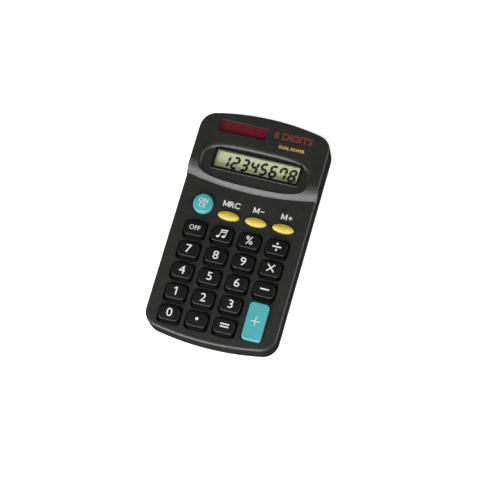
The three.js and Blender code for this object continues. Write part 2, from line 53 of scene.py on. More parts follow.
case_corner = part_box("bottom_shell")[1]
HALF_WIDTH = case_corner.x
END_Y = case_corner.y
PANEL_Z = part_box("top_shell")[1].z
KEY_FACE_Z = 15 * MM
PARTING_Z = 7 * MM
SEAM = 0.06 * MM
DISPLAY_END_RADIUS = 129 * MM
KEY_END_RADIUS = 143 * MM
CORNER_RADIUS = 8.5 * MM
CORNER_STEPS = 14
END_STEPS = 26
WALL = 1.8 * MM
FACE_WALL = 1.6 * MM
FLOOR = 1.8 * MM
EDGE_ROUND = 1.5 * MM
LOWER_INSET = 2.4 * MM
LOWER_HEIGHT = 6.4 * MM

# The shoulder is the slope from the display panel down to the key face; in plan it is an arc.
SHOULDER_Y = 19.8 * MM
SHOULDER_RADIUS = 158.7 * MM
SHOULDER_SLOPE = math.radians(50)
TALL_ROOM_INSET = 8 * MM

# The dish is the oval hollow round the display.
DISH_CENTRE = (-0.5 * MM, 31.8 * MM)
DISH_HALF = (28.4 * MM, 10.2 * MM)
DISH_POWER = 3.2
DISH_FLOOR_Z = 16.4 * MM
DISH_SLOPE = 1.8 * MM
DISH_WALL = 1.2 * MM

DISPLAY_CENTRE = (0, 34 * MM)
DISPLAY_HALF = (21.4 * MM, 4.5 * MM)
DISPLAY_CORNER = 0.5 * MM
BEZEL_MARGIN = 1.7 * MM
BEZEL_HEIGHT = 0.35 * MM
BEZEL_RIDGE = 0.6 * MM
BEZEL_EDGE = 0.3 * MM
BEZEL_CORNER = 1.6 * MM
FRAME_CORNER = 1.2 * MM
FRAME_DEPTH = 0.3 * MM
FRAME_LIP_Z = DISH_FLOOR_Z + 0.05 * MM

SOLAR_CENTRE = (-11.1 * MM, 50.2 * MM)
SOLAR_HALF = (12.1 * MM, 3.2 * MM)
SOLAR_CORNER = 0.6 * MM
SOLAR_SEAT_MARGIN = 1 * MM
SOLAR_SEAT_CORNER = 0.8 * MM
SOLAR_LIP = 1 * MM
WINDOW_HOLE_LOW_Z = 10 * MM

KEY_CLEARANCE = 0.35 * MM
HOLE_RIM = 0.2 * MM

SCREW_X = 28.8 * MM
CASE_SCREWS_Y = (-44 * MM, 33 * MM)
BOARD_SCREWS_Y = (-20 * MM, 15 * MM)
BOSS_RADIUS = 1.9 * MM
BOSS_LOW_Z = 9.2 * MM
PILOT_RADIUS = 1.1 * MM
PILOT_HIGH_Z = KEY_FACE_Z - FACE_WALL - 0.6 * MM


# ---- outlines: each one gives its ring of points, grown outwards by an amount

def arc(x, y, radius, start, end, steps):
    angles = [start + (end - start) * step / steps for step in range(steps + 1)]
    return [(x + radius * math.cos(a), y + radius * math.sin(a)) for a in angles]


def case_outline(growth):
    """Straight sides, two shallow end arcs and four round corners."""
    corner_x = HALF_WIDTH - CORNER_RADIUS
    corner = CORNER_RADIUS + growth

    def end(end_y, end_radius):
        """An end arc's centre, the corner centres' y that meets it, its half angle and its grown radius."""
        reach = end_radius - CORNER_RADIUS
        centre_y = end_y - end_radius
        y = centre_y + math.sqrt(reach ** 2 - corner_x ** 2)
        return centre_y, y, math.asin((y - centre_y) / reach), end_radius + growth

    top_centre, top_y, top_angle, top_radius = end(END_Y, DISPLAY_END_RADIUS)
    low_centre, low_y, low_angle, low_radius = end(END_Y, KEY_END_RADIUS)
    half_turn, full_turn = math.pi, 2 * math.pi
    ring = arc(corner_x, top_y, corner, 0, top_angle, CORNER_STEPS)
    ring += arc(0, top_centre, top_radius, top_angle, half_turn - top_angle, END_STEPS)[1:-1]
    ring += arc(-corner_x, top_y, corner, half_turn - top_angle, half_turn, CORNER_STEPS)
    ring += arc(-corner_x, -low_y, corner, half_turn, half_turn + low_angle, CORNER_STEPS)
    ring += arc(0, -low_centre, low_radius, half_turn + low_angle, full_turn - low_angle, END_STEPS)[1:-1]
    ring += arc(corner_x, -low_y, corner, full_turn - low_angle, full_turn, CORNER_STEPS)
    return ring


def rounded_rectangle(centre, half, corner, steps=6):
    """A rectangle with round corners; half is its half width and half depth."""
    smallest = 0.02 * MM

    def outline(growth):
        ring = []
        radius = max(corner + growth, smallest)
        for index, (side_x, side_y) in enumerate(((1, 1), (-1, 1), (-1, -1), (1, -1))):
            x = centre[0] + side_x * max(half[0] + growth - radius, smallest / 2)
            y = centre[1] + side_y * max(half[1] + growth - radius, smallest / 2)
            ring += arc(x, y, radius, index * QUARTER, (index + 1) * QUARTER, steps)
        return ring
    return outline


def oval(centre, half, power=2.0, steps=64):
    """An ellipse, or with a higher power a fuller oval."""
    def outline(growth):
        ring = []
        for step in range(steps):
            angle = 2 * math.pi * step / steps
            across, along = math.cos(angle), math.sin(angle)
            x = math.copysign(abs(across) ** (2 / power), across) * (half[0] + growth)
            y = math.copysign(abs(along) ** (2 / power), along) * (half[1] + growth)
            ring.append((centre[0] + x, centre[1] + y))
        return ring
    return outline


def grown(half, amount):
    return [size + amount for size in half]


def frame_outline():
    """The black frame of the display and the seat that it lies in."""
    return rounded_rectangle(DISPLAY_CENTRE, grown(DISPLAY_HALF, BEZEL_MARGIN - BEZEL_RIDGE), FRAME_CORNER)


# ---- modelling tools

def fresh():
    """Leaves nothing selected, ready for a new primitive."""
    if bpy.context.object and bpy.context.object.mode == "EDIT":
        bpy.ops.object.mode_set(mode="OBJECT")
    bpy.ops.object.select_all(action="DESELECT")


def activate(piece):
    fresh()
    piece.select_set(True)
    bpy.context.view_layer.objects.active = piece


def loft(name, outline, levels):
    """A disc drawn up from level to level; each level is (height, growth of the outline)."""
    fresh()
    corners = len(outline(0))
    bpy.ops.mesh.primitive_circle_add(vertices=corners, radius=MM, fill_type="NGON")
    piece = bpy.context.object
    piece.name = name
    bpy.ops.object.mode_set(mode="EDIT")
    mesh = bmesh.from_edit_mesh(piece.data)
    place = mesh.verts.layers.int.new("place")
    for index, vertex in enumerate(mesh.verts):
        vertex[place] = index
    for level, (height, growth) in enumerate(levels):
        if level:
            bpy.ops.mesh.extrude_region_move(TRANSFORM_OT_translate={"value": (0, 0, MM)})
        ring = outline(growth)
        mesh = bmesh.from_edit_mesh(piece.data)
        place = mesh.verts.layers.int["place"]
        for vertex in mesh.verts:
            if vertex.select:
                vertex.co = (*ring[vertex[place]], height)
        bmesh.update_edit_mesh(piece.data)
    bpy.ops.mesh.select_all(action="SELECT")
    bpy.ops.mesh.normals_make_consistent(inside=False)
    bpy.ops.object.mode_set(mode="OBJECT")
    return piece


def rounded_levels(low, high, low_round=(0, 0), high_round=(0, 0), steps=6):
    """Levels of a block whose lower and upper edges are quarter ellipses of (inset, height)."""
    levels = []
    inset, height = low_round
    for step in range(steps if height else 0):
        angle = QUARTER * step / steps
        levels.append((low + height * (1 - math.cos(angle)), -inset * (1 - math.sin(angle))))
    levels.append((low + height, 0))
    inset, height = high_round
    levels.append((high - height, 0))
    for step in range(1, steps + 1 if height else 0):
        angle = QUARTER * step / steps
        levels.append((high - height * (1 - math.sin(angle)), -inset * (1 - math.cos(angle))))
    return levels


def rim_cutter(name, outline, low, face, rim, steps=4):
    """A cutter for a hole whose mouth at the face is rounded over by the rim radius."""
    levels = [(low, 0), (face - rim, 0)]
    for step in range(1, steps + 1):
        angle = QUARTER * step / steps
        levels.append((face - rim * (1 - math.sin(angle)), rim * (1 - math.cos(angle))))
    levels.append((face + 5 * rim, rim))
    return loft(name, outline, levels)


def block(name, low, high):
    fresh()
    centre = [(a + b) / 2 for a, b in zip(low, high)]
    bpy.ops.mesh.primitive_cube_add(size=1, location=centre)
    piece = bpy.context.object
    piece.name = name
    piece.scale = [b - a for a, b in zip(low, high)]
    bpy.ops.object.transform_apply(location=True, rotation=True, scale=True)
    return piece


def rod(name, centre, radius, low, high, sides=32):
    fresh()
    bpy.ops.mesh.primitive_cylinder_add(vertices=sides, radius=radius, depth=high - low,
                                        location=(centre[0], centre[1], (low + high) / 2))
    piece = bpy.context.object
    piece.name = name
    bpy.ops.object.transform_apply(location=True, rotation=True, scale=True)
    return piece


def combine(target, operation, *tools):
    """Joins, cuts or crosses the target with each tool, and takes the tools away."""
    for tool in tools:
        activate(target)
        modifier = target.modifiers.new("combine", "BOOLEAN")
        modifier.operation = operation
        modifier.solver = "MANIFOLD"
        modifier.object = tool
        bpy.ops.object.modifier_apply(modifier=modifier.name)
        bpy.data.objects.remove(tool, do_unlink=True)
    return target


def joined(name, pieces):
    fresh()
    for piece in pieces:
        piece.select_set(True)
    bpy.context.view_layer.objects.active = pieces[0]
    bpy.ops.object.join()
    piece = bpy.context.object
    piece.name = name
    return piece


def smooth(piece, angle=32):
    """Soft shading on curved stretches, with flat faces kept flat and edges over the angle kept sharp."""
    activate(piece)
    bpy.ops.object.shade_smooth_by_angle(angle=math.radians(angle))
    modifier = piece.modifiers.new("flat faces", "WEIGHTED_NORMAL")
    modifier.keep_sharp = True
    modifier.weight = 90
    bpy.ops.object.modifier_apply(modifier=modifier.name)
    return piece


def copy_of(piece, name, offset):
    """A copy of the piece with its own mesh, moved by the offset."""
    twin = bpy.data.objects.new(name, piece.data.copy())
    bpy.context.scene.collection.objects.link(twin)
    twin.data.transform(Matrix.Translation(offset))
    return twin


# ---- finishes

class Finish:
    """A material under construction; its nodes are added by add(), and numbers are worked out with Value."""

    def __init__(self, name, base, roughness, metallic=0.0, constants=()):
        self.material = bpy.data.materials.new(name)
        self.material.use_nodes = True
        self.tree = self.material.node_tree
        self.shader = self.tree.nodes["Principled BSDF"]
        self.set("Base Color", (*base, 1))
        self.set("Roughness", roughness)
        self.set("Metallic", metallic)
        for socket_name, number in dict(constants).items():
            self.set(socket_name, number)
        self.place = self.add("ShaderNodeTexCoord").outputs["Object"]

    def add(self, kind, settings=(), inputs=()):
        """Adds one node: first its settings, then the number or link of each socket, by name or index."""
        node = self.tree.nodes.new(kind)
        for name, setting in dict(settings).items():
            setattr(node, name, setting)
        for socket, given in dict(inputs).items():
            self.feed(node.inputs[socket], given)
        return node

    def feed(self, socket, given):
        if isinstance(given, Value):
            given = given.socket
        if isinstance(given, bpy.types.NodeSocket):
            self.tree.links.new(given, socket)
        else:
            socket.default_value = given

    def set(self, name, given):
        self.feed(self.shader.inputs[name], given)

    def noise(self, scale, detail=4.0, roughness=0.55):
        inputs = {"Vector": self.place, "Scale": scale, "Detail": detail, "Roughness": roughness}
        return Value(self, self.add("ShaderNodeTexNoise", inputs=inputs).outputs["Fac"])

    def along_x(self):
        return Value(self, self.add("ShaderNodeSeparateXYZ", inputs={"Vector": self.place}).outputs["X"])

    def mix(self, factor, first, second):
        """A colour between the first and the second; sockets 0, 6 and 7 are the factor and the colours."""
        inputs = {0: factor, 6: (*first, 1), 7: (*second, 1)}
        return self.add("ShaderNodeMix", {"data_type": "RGBA"}, inputs).outputs[2]

    def bump(self, height, distance):
        node = self.add("ShaderNodeBump", inputs={"Height": height, "Distance": distance, "Strength": 1.0})
        self.set("Normal", node.outputs["Normal"])


class Value:
    """A number that varies over a surface; Python arithmetic on it adds Math nodes."""

    def __init__(self, finish, socket):
        self.finish = finish
        self.socket = socket

    def math(self, operation, *others):
        inputs = dict(enumerate((self, *others)))
        node = self.finish.add("ShaderNodeMath", {"operation": operation}, inputs)
        return Value(self.finish, node.outputs[0])

    def __add__(self, other):
        return self.math("ADD", other)

    def __radd__(self, other):
        return self.math("ADD", other)

    def __rsub__(self, other):
        return self.math("MULTIPLY", -1) + other

    def __mul__(self, other):
        return self.math("MULTIPLY", other)

    def __rmul__(self, other):
        return self.math("MULTIPLY", other)

    def __gt__(self, other):
        return self.math("GREATER_THAN", other)

    def __lt__(self, other):
        return self.math("LESS_THAN", other)


def moulded_plastic(name, base, roughness, grain, grain_scale=2600, mottle=0.15, specular=0.5):
    """Moulded plastic: fine spark-eroded grain, slightly mottled colour and a few handling smudges."""
    finish = Finish(name, base, roughness, constants={"Specular IOR Level": specular})
    mottling = finish.noise(350, 3)
    smudges = finish.noise(45, 2)
    lighter = [channel * (1 + mottle) for channel in base]
    darker = [channel * (1 - mottle) for channel in base]
    finish.set("Base Color", finish.mix(mottling, darker, lighter))
    finish.set("Roughness", roughness - 0.06 + 0.12 * smudges)
    finish.bump(finish.noise(grain_scale, 2) + 0.25 * finish.noise(grain_scale / 3, 2), grain)
    return finish.material


SMOOTH_GRAIN = 0.01 * MM
LIGHT_GRAIN = 0.02 * MM
CASE_GRAIN = 0.09 * MM
CASE_BLACK = moulded_plastic("case black plastic", (0.0105, 0.0105, 0.0098), 0.42, CASE_GRAIN,
                             grain_scale=2400, mottle=0.6)
KEY_BLACK = moulded_plastic("key black plastic", (0.0032, 0.0032, 0.0032), 0.3, LIGHT_GRAIN, specular=0.28)
KEY_TEAL = moulded_plastic("key teal plastic", (0.055, 0.27, 0.295), 0.4, SMOOTH_GRAIN)
KEY_YELLOW = moulded_plastic("key yellow plastic", (0.43, 0.34, 0.055), 0.4, SMOOTH_GRAIN)
# The display frame is darker than the case: partly its own black, partly painted shade of the opening round
# the display.
FRAME_BLACK_AND_SHADE = moulded_plastic("display frame black", (0.003, 0.003, 0.003), 0.35, SMOOTH_GRAIN, specular=0.3)


def printed_ink(name, base):
    finish = Finish(name, base, 0.5)
    worn = finish.noise(1500, 3)
    finish.set("Base Color", finish.mix(worn, [channel * 0.88 for channel in base], base))
    finish.bump(finish.noise(3000, 1), 0.005 * MM)
    return finish.material


INK_WHITE = printed_ink("white ink", (0.56, 0.56, 0.54))
INK_RED = printed_ink("red ink", (0.16, 0.022, 0.016))
INK_YELLOW = printed_ink("yellow ink", (0.50, 0.32, 0.06))


def display_glass():
    """Grey-green reflective display with a faint unevenness."""
    finish = Finish("display glass", (0.58, 0.62, 0.37), 0.35)
    cloud = finish.noise(120, 2)
    finish.set("Base Color", finish.mix(cloud, (0.55, 0.59, 0.35), (0.61, 0.65, 0.39)))
    finish.set("Roughness", 0.3 + 0.1 * cloud)
    return finish.material


def digit_black():
    finish = Finish("display digit", (0.006, 0.007, 0.006), 0.5)
    finish.set("Roughness", 0.45 + 0.1 * finish.noise(400, 2))
    return finish.material


def clear_window():
    finish = Finish("clear window", (0.02, 0.025, 0.02), 0.06)
    finish.set("Alpha", 0.04 + 0.02 * finish.noise(60, 2))
    return finish.material


def smoked_window():
    finish = Finish("smoked red window", (0.14, 0.014, 0.022), 0.12)
    finish.set("Alpha", 0.45 + 0.05 * finish.noise(60, 2))
    return finish.material


def solar_film():
    """Deep red film, divided into cells by fine darker lines."""
    finish = Finish("solar film", (0.20, 0.012, 0.025), 0.3)
    cell_width = 6.05 * MM
    divider = (finish.along_x() * (1 / cell_width)).math("FRACT") < 0.07
    finish.set("Base Color", finish.mix(divider, (0.22, 0.012, 0.028), (0.05, 0.005, 0.010)))
    finish.set("Roughness", 0.25 + 0.1 * finish.noise(200, 2))
    return finish.material


def rubber():
    finish = Finish("grey silicone", (0.26, 0.27, 0.28), 0.75)
    cloud = finish.noise(150, 3)
    finish.set("Base Color", finish.mix(cloud, (0.22, 0.23, 0.24), (0.30, 0.31, 0.32)))
    finish.bump(finish.noise(1500, 2), LIGHT_GRAIN)
    return finish.material


def laminate():
    finish = Finish("board laminate", (0.35, 0.24, 0.09), 0.5)
    fibre = finish.noise(500, 4)
    finish.set("Base Color", finish.mix(fibre, (0.30, 0.19, 0.06), (0.42, 0.29, 0.12)))
    finish.bump(finish.noise(1200, 2), SMOOTH_GRAIN)
    return finish.material


def resin():
    finish = Finish("black resin", (0.012, 0.012, 0.013), 0.2)
    finish.set("Roughness", 0.14 + 0.12 * finish.noise(120, 2))
    finish.bump(finish.noise(150, 2), 0.05 * MM)
    return finish.material


def metal(name, base, roughness):
    finish = Finish(name, base, roughness, metallic=1.0)
    scratches = finish.noise(700, 5, 0.7)
    finish.set("Roughness", roughness - 0.08 + 0.16 * scratches)
    finish.bump(scratches, 0.008 * MM)
    return finish.material


def cell_sleeve():
    """Battery sleeve: a plain dark green jacket with one pale band before its bare metal end."""
    finish = Finish("cell sleeve", (0.02, 0.14, 0.07), 0.3)
    x = finish.along_x()
    past_jacket = x > 14 * MM
    bare_end = x > 24 * MM
    band = past_jacket * (1 - bare_end)
    finish.set("Base Color", finish.mix(band, (0.02, 0.12, 0.06), (0.50, 0.42, 0.16)))
    finish.set("Metallic", 0.1 + 0.9 * bare_end)
    finish.set("Roughness", 0.26 + 0.1 * finish.noise(200, 2))
    return finish.material


def insulation(name, base):
    finish = Finish(name, base, 0.5)
    finish.set("Base Color", finish.mix(finish.noise(600, 2), [channel * 0.85 for channel in base], base))
    finish.set("Roughness", 0.42 + 0.14 * finish.noise(300, 2))
    return finish.material


STEEL = metal("plated steel", (0.60, 0.60, 0.61), 0.3)
BRASS = metal("sounder brass", (0.62, 0.45, 0.18), 0.34)
RUBBER = rubber()
LAMINATE = laminate()
RESIN = resin()
SLEEVE = cell_sleeve()
HOLDER = moulded_plastic("holder plastic", (0.55, 0.55, 0.52), 0.5, LIGHT_GRAIN)
CERAMIC = moulded_plastic("resistor body", (0.45, 0.30, 0.16), 0.5, LIGHT_GRAIN)
BLACK_LEAD = insulation("black insulation", (0.02, 0.02, 0.02))
RED_LEAD = insulation("red insulation", (0.45, 0.03, 0.03))

inner_finishes = {
    "lcd_holder": HOLDER, "zebra_connector": RUBBER, "key_mat": RUBBER, "circuit_board": LAMINATE,
    "chip_cap": RESIN, "reservoir_capacitor": RESIN, "resistor_left": CERAMIC, "resistor_right": CERAMIC,
    "sounder_disc": BRASS, "battery_spring": STEEL, "battery_contact": STEEL, "solar_cell": solar_film(),
    "battery_lead_negative": BLACK_LEAD, "battery_lead_positive": RED_LEAD,
    "solar_lead_negative": BLACK_LEAD, "solar_lead_positive": RED_LEAD,
}
for node_name, finish in inner_finishes.items():
    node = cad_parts[node_name]
    node.data.materials.clear()
    node.data.materials.append(finish)


def finish_piece(piece, material, body, slot, *nodes):
    """Gives a piece its material, the body that it rides on and the nodes that it stands in for; the slot is
    not used.
    """
    piece.data.materials.clear()
    piece.data.materials.append(material)
    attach(piece, body)
    if nodes:
        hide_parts(*nodes)
    return piece

# ---- keys

black_keys = ["off", "music", "percent", "divide", "7", "8", "9", "multiply", "4", "5", "6", "minus",
              "1", "2", "3", "0", "point", "equals"]
memory_keys = ["memory_recall", "memory_minus", "memory_plus"]
all_keys = black_keys + ["plus", "on_clear"] + memory_keys

BLACK_HALF = (5.35 * MM, 3.7 * MM)
BLACK_HOLE_HALF = (5.95 * MM, 5.0 * MM)
PLUS_HALF = (5.0 * MM, 9.6 * MM)
PLUS_HOLE_HALF = (PLUS_HALF[0] + KEY_CLEARANCE + 0.1 * MM, PLUS_HALF[1] + 0.6 * MM)
MEMORY_HALF = (5.55 * MM, 2.4 * MM)
ROUND_HALF = (5.25 * MM, 5.25 * MM)
KEY_CORNER = 1.9 * MM
FLANGE_TOP = KEY_FACE_Z - FACE_WALL - 0.3 * MM
FLANGE_BOTTOM = FLANGE_TOP - 0.9 * MM
FLANGE_CORNER = 0.8 * MM
CAP_TAPER_Z = KEY_FACE_Z - 0.4 * MM
CAP_STEPS = 5
LEAN_FROM_Z = KEY_FACE_Z + 1 * MM
LEAN_CURVE = 2.2

key_centre = {}
key_top = {}
for key in all_keys:
    key_low, key_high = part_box("key_" + key)
    key_centre[key] = ((key_low.x + key_high.x) / 2, (key_low.y + key_high.y) / 2)
    key_top[key] = key_high.z


def cap_levels(top, taper, edge, crown, reach):
    """A cap that narrows upwards and rounds over at its top edge; crown lifts or sinks its middle."""
    shoulder = top - edge
    levels = [(FLANGE_BOTTOM, 0), (CAP_TAPER_Z, 0), (shoulder, -taper)]
    for step in range(1, CAP_STEPS + 1):
        angle = QUARTER * step / CAP_STEPS
        levels.append((shoulder + edge * math.sin(angle), -taper - edge * (1 - math.cos(angle))))
    for step in range(1, CAP_STEPS + 1):
        part = step / CAP_STEPS
        levels.append((top + crown * (1 - (1 - part) ** 2), -taper - edge - reach * part))
    return levels


def front_lean(cap, half_depth, drop):
    """Leans the top of a cap down towards the user, steeper towards its front edge."""
    for vertex in cap.data.vertices:
        if vertex.co.z > LEAN_FROM_Z:
            part = (half_depth - vertex.co.y) / (2 * half_depth)
            vertex.co.z -= drop * max(part, 0) ** LEAN_CURVE


def with_flange(cap, outline):
    """Adds the flange that keeps a cap from passing up through its hole."""
    flange = loft("flange", outline, [(FLANGE_BOTTOM, 0), (FLANGE_TOP, 0)])
    return combine(cap, "UNION", flange)


def leaning_cap(half, levels, drop, flange_half):
    cap = loft("cap", rounded_rectangle((0, 0), half, KEY_CORNER), levels)
    front_lean(cap, half[1], drop)
    return with_flange(cap, rounded_rectangle((0, 0), flange_half, FLANGE_CORNER))


def domed_cap(half, top, taper, edge, crown):
    reach = half[1] - taper - edge - 0.1 * MM
    cap = loft("cap", oval((0, 0), half), cap_levels(top - crown, taper, edge, crown, reach))
    return with_flange(cap, oval((0, 0), grown(half, KEY_CLEARANCE + 0.6 * MM)))


def place_keys(master, keys, material, slot):
    """Puts a copy of the master cap at each of the keys, then takes the master away."""
    for key in keys:
        x, y = key_centre[key]
        piece = copy_of(master, "keycap_" + key, (x, y, 0))
        smooth(piece, angle=40)
        finish_piece(piece, material, "key_" + key, slot, "key_" + key)
    bpy.data.objects.remove(master)


black_levels = cap_levels(key_top["5"], taper=0.26 * MM, edge=0.32 * MM, crown=-0.12 * MM, reach=2.8 * MM)
black_flange_half = (BLACK_HALF[0], BLACK_HOLE_HALF[1] + 0.2 * MM)
black_cap = leaning_cap(BLACK_HALF, black_levels, 0.7 * MM, black_flange_half)
place_keys(black_cap, black_keys, KEY_BLACK, "key_black")

plus_levels = cap_levels(key_top["plus"], taper=0.15 * MM, edge=0.4 * MM, crown=-0.08 * MM, reach=3 * MM)
plus_flange_half = (PLUS_HALF[0], PLUS_HOLE_HALF[1] + 0.5 * MM)
plus_cap = leaning_cap(PLUS_HALF, plus_levels, 0.35 * MM, plus_flange_half)
place_keys(plus_cap, ["plus"], KEY_TEAL, "key_teal")

round_cap = domed_cap(ROUND_HALF, key_top["on_clear"], taper=0.25 * MM, edge=0.8 * MM, crown=0.25 * MM)
place_keys(round_cap, ["on_clear"], KEY_TEAL, "key_teal")

memory_cap = domed_cap(MEMORY_HALF, key_top["memory_plus"], taper=0.15 * MM, edge=0.8 * MM, crown=0.3 * MM)
place_keys(memory_cap, memory_keys, KEY_YELLOW, "key_yellow")

# ---- top shell


def shoulder_disc(growth, low, sides):
    """A wide disc whose edge, seen from above, is the shoulder arc."""
    return rod("disc", (0, SHOULDER_Y + SHOULDER_RADIUS), SHOULDER_RADIUS + growth, low, PANEL_Z, sides)


def raised_panel():
    """The part of the case above the shoulder arc, with the panel rounding off down to the key face."""
    low = PARTING_Z + SEAM
    panel = loft("panel", case_outline, rounded_levels(low, PANEL_Z, high_round=(EDGE_ROUND, EDGE_ROUND)))
    shoulder_round = (PANEL_Z - KEY_FACE_Z) / (1 - math.cos(SHOULDER_SLOPE))
    disc = shoulder_disc(shoulder_round * (1 - math.sin(SHOULDER_SLOPE)), low - 5 * MM, sides=720)
    activate(disc)
    bpy.ops.object.mode_set(mode="EDIT")
    bpy.ops.mesh.select_all(action="DESELECT")
    mesh = bmesh.from_edit_mesh(disc.data)
    for edge in mesh.edges:
        edge.select = all(vertex.co.z > KEY_FACE_Z for vertex in edge.verts)
    bmesh.update_edit_mesh(disc.data)
    bpy.ops.mesh.bevel(offset=shoulder_round, segments=22, affect="EDGES", offset_type="OFFSET")
    bpy.ops.object.mode_set(mode="OBJECT")
    return combine(panel, "INTERSECT", disc)


def dish_cutter(growth, floor_z, steps=8):
    """The oval dish: a flat floor and a wall that curves up to the panel."""
    outline = oval(DISH_CENTRE, grown(DISH_HALF, growth), DISH_POWER, steps=128)
    height = PANEL_Z - DISH_FLOOR_Z
    levels = []
    for step in range(steps + 1):
        angle = QUARTER * step / steps
        levels.append((floor_z + height * (1 - math.cos(angle)), -DISH_SLOPE * (1 - math.sin(angle))))
    levels.append((floor_z + 3 * height, 0))
    return loft("dish", outline, levels)


def hollow_room():
    """The space inside the top shell: low under the keys, tall under the panel, less the dish."""
    low = PARTING_Z - 1 * MM
    room = loft("room", case_outline, [(low, -WALL), (KEY_FACE_Z - FACE_WALL, -WALL)])
    tall = loft("tall room", case_outline, [(low, -WALL), (PANEL_Z - FACE_WALL, -WALL)])
    combine(tall, "INTERSECT", shoulder_disc(-TALL_ROOM_INSET, 0, sides=360))
    combine(room, "UNION", tall)
    return combine(room, "DIFFERENCE", dish_cutter(DISH_WALL, DISH_FLOOR_Z - DISH_WALL))


def key_hole(key):
    centre = key_centre[key]
    if key in memory_keys:
        outline = oval(centre, grown(MEMORY_HALF, KEY_CLEARANCE))
    elif key == "on_clear":
        outline = oval(centre, grown(ROUND_HALF, KEY_CLEARANCE))
    else:
        half = PLUS_HOLE_HALF if key == "plus" else BLACK_HOLE_HALF
        outline = rounded_rectangle(centre, half, KEY_CORNER + KEY_CLEARANCE)
    return rim_cutter("hole", outline, FLANGE_TOP, KEY_FACE_Z, HOLE_RIM)


def add_bosses(shell):
    """The pillars that the screws bite into, each with its pilot hole."""
    for y in CASE_SCREWS_Y + BOARD_SCREWS_Y:
        ceiling = PANEL_Z if y > SHOULDER_Y else KEY_FACE_Z
        for x in (-SCREW_X, SCREW_X):
            boss = rod("boss", (x, y), BOSS_RADIUS, BOSS_LOW_Z, ceiling - FACE_WALL / 2)
            combine(shell, "UNION", boss)
            combine(shell, "DIFFERENCE", rod("pilot", (x, y), PILOT_RADIUS, 0, PILOT_HIGH_Z, sides=16))


def add_bezel(shell):
    """The ridge round the display, the seat of the black frame inside it, and the display's opening."""
    ridge = rounded_rectangle(DISPLAY_CENTRE, grown(DISPLAY_HALF, BEZEL_MARGIN), BEZEL_CORNER)
    levels = rounded_levels(DISH_FLOOR_Z - 1 * MM, DISH_FLOOR_Z + BEZEL_HEIGHT,
                            high_round=(BEZEL_RIDGE / 2, BEZEL_EDGE))
    combine(shell, "UNION", loft("bezel", ridge, levels))
    seat_levels = [(DISH_FLOOR_Z - FRAME_DEPTH, 0), (PANEL_Z, 0)]
    combine(shell, "DIFFERENCE", loft("seat", frame_outline(), seat_levels))
    opening = rounded_rectangle(DISPLAY_CENTRE, DISPLAY_HALF, DISPLAY_CORNER)
    combine(shell, "DIFFERENCE", loft("hole", opening, [(WINDOW_HOLE_LOW_Z, 0), (PANEL_Z, 0)]))


def cut_solar_window(shell):
    """The opening of the solar window, and the wider seat below it."""
    opening = rounded_rectangle(SOLAR_CENTRE, SOLAR_HALF, SOLAR_CORNER)
    combine(shell, "DIFFERENCE", rim_cutter("hole", opening, WINDOW_HOLE_LOW_Z, PANEL_Z, HOLE_RIM / 2))
    seat = rounded_rectangle(SOLAR_CENTRE, grown(SOLAR_HALF, SOLAR_SEAT_MARGIN), SOLAR_SEAT_CORNER)
    combine(shell, "DIFFERENCE", loft("seat", seat, [(WINDOW_HOLE_LOW_Z, 0), (PANEL_Z - SOLAR_LIP, 0)]))


def top_shell():
    levels = rounded_levels(PARTING_Z + SEAM, KEY_FACE_Z, high_round=(EDGE_ROUND, EDGE_ROUND), steps=8)
    shell = loft("case_top", case_outline, levels)
    combine(shell, "UNION", raised_panel())
    combine(shell, "DIFFERENCE", hollow_room())
    add_bosses(shell)
    combine(shell, "DIFFERENCE", dish_cutter(0, DISH_FLOOR_Z))
    add_bezel(shell)
    cut_solar_window(shell)
    for key in all_keys:
        combine(shell, "DIFFERENCE", key_hole(key))
    smooth(shell, angle=30)
    return finish_piece(shell, CASE_BLACK, "case", "case_black", "top_shell")


top_shell()

# ---- bottom shell and battery door

DOOR_HALF_WIDTH = 25.5 * MM
DOOR_LOW_Y = 39.8 * MM
DOOR_LIP = 4.7 * MM
DOOR_GAP = 0.15 * MM
DOOR_THICKNESS = 1.4 * MM
TONGUE_REACH = 0.8 * MM
TONGUE_END_Y = 53 * MM
TONGUE_LOW_Z = 0.7 * MM
TONGUE_HIGH_Z = 1.1 * MM
TONGUE_GAP = 0.15 * MM

# The walls of the battery bay, in mm: the low and the high corner of each.
FRONT_BAY_WALL = ((-24, 38.2, 0.9), (24, 39.1, 6.9))
LEFT_BAY_WALL = ((-29.5, 42, 0.9), (-28.6, 52, 11))
RIGHT_BAY_WALL = ((26.7, 42, 0.9), (27.6, 52, 11))

STAND_RADIUS = 2.7 * MM
STAND_HIGH_Z = 8.9 * MM
SHANK_HOLE_RADIUS = 1.1 * MM
HEAD_HOLE_RADIUS = 2.1 * MM
HEAD_HOLE_RIM = 0.3 * MM
HEAD_HOLE_HIGH_Z = FLOOR + 0.8 * MM

GRIP_GROOVES = 6
GRIP_FIRST_Y = 47.2 * MM
GRIP_PITCH = 1.1 * MM
GRIP_HALF = (7 * MM, 0.28 * MM)
GRIP_SHORTENING = 0.6 * MM
GRIP_CORNER = 0.26 * MM
GRIP_DEPTH = 0.35 * MM
GRIP_FLARE = 0.1 * MM


def lower_form(name):
    levels = rounded_levels(0, PARTING_Z - SEAM, low_round=(LOWER_INSET, LOWER_HEIGHT), steps=12)
    return loft(name, case_outline, levels)


def lower_room(floor):
    """The space above the floor of the lower half, narrowing to the floor as the outside does."""
    levels = [(floor, -WALL - 1.8 * MM), (floor + 1.2 * MM, -WALL - 0.7 * MM),
              (floor + 4 * MM, -WALL), (floor + 20 * MM, -WALL)]
    return loft("room", case_outline, levels)


